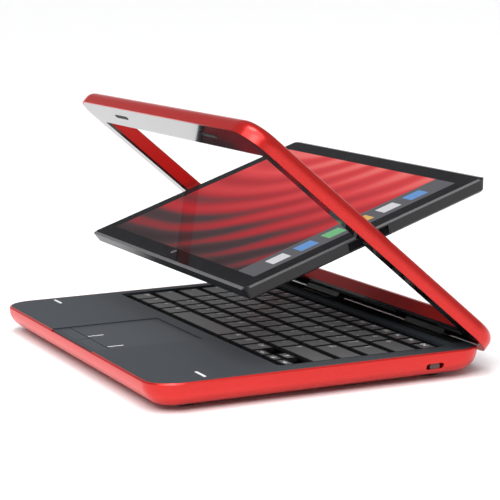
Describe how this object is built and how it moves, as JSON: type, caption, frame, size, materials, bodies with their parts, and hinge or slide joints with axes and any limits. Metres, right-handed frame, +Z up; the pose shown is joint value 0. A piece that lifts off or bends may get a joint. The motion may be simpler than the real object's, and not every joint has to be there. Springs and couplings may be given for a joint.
{
  "type": "laptop_computer",
  "caption": "Small convertible laptop computer: red curved base with keyboard and touch pad, and a screen that flips about mid-height pivots inside a ring-shaped lid.",
  "frame": {"origin": "Middle of the bounding box, at table level under the feet.", "axes": "+X is the user's right, +Y points to the back (hinge) edge, +Z is up."},
  "size_m": [0.285, 0.2074, 0.1508],
  "materials": {
    "red_shell": "satin",
    "deck_plastic": "matte",
    "key_plastic": "matte",
    "black_plastic": "satin",
    "gloss_black": "gloss",
    "silver_plastic": "satin",
    "rubber": "matte",
    "steel": "satin",
    "bare_metal": "satin",
    "copper": "satin",
    "circuit_board": "satin",
    "screen_glass": "gloss",
    "display": "gloss"
  },
  "bodies": {
    "base": {"bottom_case": "red_shell", "palm_rest": "deck_plastic", "hinge_cover": "black_plastic", "keyboard_base": "black_plastic", "touch_pad": "deck_plastic", "rubber_feet": "rubber", "case_screws": "steel", "deck_bumpers": "rubber", "battery_pack": "black_plastic", "memory_door": "red_shell", "main_board": "circuit_board", "storage_drive": "bare_metal", "memory_module": "circuit_board", "wireless_card": "circuit_board", "fan_housing": "black_plastic", "heat_sink": "copper", "speakers": "black_plastic", "usb_sockets": "steel", "audio_jack": "black_plastic", "power_inlet": "black_plastic", "hinge_pins": "steel"},
    "lid": {"lid_frame": "red_shell", "lid_bezel": "gloss_black", "lid_bumpers": "rubber", "lid_hinge_arms": "black_plastic", "screen_pivot_pins": "steel"},
    "screen": {"screen_back": "black_plastic", "screen_glass": "screen_glass", "lcd_panel": "display", "screen_board": "circuit_board", "webcam_module": "black_plastic", "pivot_hubs": "black_plastic"},
    "fan": {"fan_rotor": "black_plastic"},
    "switch_slider": {"power_switch": "silver_plastic"},
    "left_button": {"left_pad_button": "deck_plastic"},
    "right_button": {"right_pad_button": "deck_plastic"},
    "left_control_key_body": {"left_control_key": "key_plastic"},
    "fn_key_body": {"fn_key": "key_plastic"},
    "start_key_body": {"start_key": "key_plastic"},
    "left_alt_key_body": {"left_alt_key": "key_plastic"},
    "space_bar_body": {"space_bar": "key_plastic"},
    "right_alt_key_body": {"right_alt_key": "key_plastic"},
    "menu_key_body": {"menu_key": "key_plastic"},
    "right_control_key_body": {"right_control_key": "key_plastic"},
    "left_shift_key_body": {"left_shift_key": "key_plastic"},
    "lower_letter_keys_body": {"lower_letter_keys": "key_plastic"},
    "right_shift_key_body": {"right_shift_key": "key_plastic"},
    "caps_key_body": {"caps_key": "key_plastic"},
    "home_letter_keys_body": {"home_letter_keys": "key_plastic"},
    "enter_key_body": {"enter_key": "key_plastic"},
    "tab_key_body": {"tab_key": "key_plastic"},
    "upper_letter_keys_body": {"upper_letter_keys": "key_plastic"},
    "number_keys_body": {"number_keys": "key_plastic"},
    "backspace_key_body": {"backspace_key": "key_plastic"},
    "function_keys_body": {"function_keys": "key_plastic"},
    "left_arrow_key_body": {"left_arrow_key": "key_plastic"},
    "down_arrow_key_body": {"down_arrow_key": "key_plastic"},
    "up_arrow_key_body": {"up_arrow_key": "key_plastic"},
    "right_arrow_key_body": {"right_arrow_key": "key_plastic"}
  },
  "joints": [
    {"name": "lid_hinge", "type": "hinge", "parent": "base", "child": "lid", "pos_m": [0, 0.09078, 0.0125], "axis": [-1, 0, 0], "range_deg": [-42.3, 82.7]},
    {"name": "screen_pivot", "type": "hinge", "parent": "lid", "child": "screen", "pos_m": [0, 0.02975, 0.08176], "axis": [1, 0, 0], "range_deg": [-60.91, 119.09]},
    {"name": "fan_spin", "type": "hinge", "parent": "base", "child": "fan", "pos_m": [-0.0995, 0.04373, 0.0072], "axis": [0, 0, 1], "continuous": true},
    {"name": "switch_slide", "type": "slide", "parent": "base", "child": "switch_slider", "axis": [0, 1, 0], "range_m": [-0.002, 0.002], "stiffness_N_per_m": 120},
    {"name": "left_button_press", "type": "slide", "parent": "base", "child": "left_button", "axis": [0, 0, -1], "range_m": [0, 0.0006], "stiffness_N_per_m": 400, "springref_m": -0.0004},
    {"name": "right_button_press", "type": "slide", "parent": "base", "child": "right_button", "axis": [0, 0, -1], "range_m": [0, 0.0006], "stiffness_N_per_m": 400, "springref_m": -0.0004},
    {"name": "left_control_key_press", "type": "slide", "parent": "base", "child": "left_control_key_body", "axis": [0, 0, -1], "range_m": [0, 0.0018], "stiffness_N_per_m": 150, "springref_m": -0.0005},
    {"name": "fn_key_press", "type": "slide", "parent": "base", "child": "fn_key_body", "axis": [0, 0, -1], "range_m": [0, 0.0018], "stiffness_N_per_m": 150, "springref_m": -0.0005},
    {"name": "start_key_press", "type": "slide", "parent": "base", "child": "start_key_body", "axis": [0, 0, -1], "range_m": [0, 0.0018], "stiffness_N_per_m": 150, "springref_m": -0.0005},
    {"name": "left_alt_key_press", "type": "slide", "parent": "base", "child": "left_alt_key_body", "axis": [0, 0, -1], "range_m": [0, 0.0018], "stiffness_N_per_m": 150, "springref_m": -0.0005},
    {"name": "space_bar_press", "type": "slide", "parent": "base", "child": "space_bar_body", "axis": [0, 0, -1], "range_m": [0, 0.0018], "stiffness_N_per_m": 150, "springref_m": -0.0005},
    {"name": "right_alt_key_press", "type": "slide", "parent": "base", "child": "right_alt_key_body", "axis": [0, 0, -1], "range_m": [0, 0.0018], "stiffness_N_per_m": 150, "springref_m": -0.0005},
    {"name": "menu_key_press", "type": "slide", "parent": "base", "child": "menu_key_body", "axis": [0, 0, -1], "range_m": [0, 0.0018], "stiffness_N_per_m": 150, "springref_m": -0.0005},
    {"name": "right_control_key_press", "type": "slide", "parent": "base", "child": "right_control_key_body", "axis": [0, 0, -1], "range_m": [0, 0.0018], "stiffness_N_per_m": 150, "springref_m": -0.0005},
    {"name": "left_shift_key_press", "type": "slide", "parent": "base", "child": "left_shift_key_body", "axis": [0, 0, -1], "range_m": [0, 0.0018], "stiffness_N_per_m": 150, "springref_m": -0.0005},
    {"name": "lower_letter_keys_press", "type": "slide", "parent": "base", "child": "lower_letter_keys_body", "axis": [0, 0, -1], "range_m": [0, 0.0018], "stiffness_N_per_m": 1500, "springref_m": -0.0005},
    {"name": "right_shift_key_press", "type": "slide", "parent": "base", "child": "right_shift_key_body", "axis": [0, 0, -1], "range_m": [0, 0.0018], "stiffness_N_per_m": 150, "springref_m": -0.0005},
    {"name": "caps_key_press", "type": "slide", "parent": "base", "child": "caps_key_body", "axis": [0, 0, -1], "range_m": [0, 0.0018], "stiffness_N_per_m": 150, "springref_m": -0.0005},
    {"name": "home_letter_keys_press", "type": "slide", "parent": "base", "child": "home_letter_keys_body", "axis": [0, 0, -1], "range_m": [0, 0.0018], "stiffness_N_per_m": 1650, "springref_m": -0.0005},
    {"name": "enter_key_press", "type": "slide", "parent": "base", "child": "enter_key_body", "axis": [0, 0, -1], "range_m": [0, 0.0018], "stiffness_N_per_m": 150, "springref_m": -0.0005},
    {"name": "tab_key_press", "type": "slide", "parent": "base", "child": "tab_key_body", "axis": [0, 0, -1], "range_m": [0, 0.0018], "stiffness_N_per_m": 150, "springref_m": -0.0005},
    {"name": "upper_letter_keys_press", "type": "slide", "parent": "base", "child": "upper_letter_keys_body", "axis": [0, 0, -1], "range_m": [0, 0.0018], "stiffness_N_per_m": 1950, "springref_m": -0.0005},
    {"name": "number_keys_press", "type": "slide", "parent": "base", "child": "number_keys_body", "axis": [0, 0, -1], "range_m": [0, 0.0018], "stiffness_N_per_m": 1950, "springref_m": -0.0005},
    {"name": "backspace_key_press", "type": "slide", "parent": "base", "child": "backspace_key_body", "axis": [0, 0, -1], "range_m": [0, 0.0018], "stiffness_N_per_m": 150, "springref_m": -0.0005},
    {"name": "function_keys_press", "type": "slide", "parent": "base", "child": "function_keys_body", "axis": [0, 0, -1], "range_m": [0, 0.0018], "stiffness_N_per_m": 2400, "springref_m": -0.0005},
    {"name": "left_arrow_key_press", "type": "slide", "parent": "base", "child": "left_arrow_key_body", "axis": [0, 0, -1], "range_m": [0, 0.0018], "stiffness_N_per_m": 150, "springref_m": -0.0005},
    {"name": "down_arrow_key_press", "type": "slide", "parent": "base", "child": "down_arrow_key_body", "axis": [0, 0, -1], "range_m": [0, 0.0018], "stiffness_N_per_m": 150, "springref_m": -0.0005},
    {"name": "up_arrow_key_press", "type": "slide", "parent": "base", "child": "up_arrow_key_body", "axis": [0, 0, -1], "range_m": [0, 0.0018], "stiffness_N_per_m": 150, "springref_m": -0.0005},
    {"name": "right_arrow_key_press", "type": "slide", "parent": "base", "child": "right_arrow_key_body", "axis": [0, 0, -1], "range_m": [0, 0.0018], "stiffness_N_per_m": 150, "springref_m": -0.0005}
  ],
  "couplings": [
    {"joint": "screen_pivot", "follows": "lid_hinge", "ratio": 1.44}
  ]
}
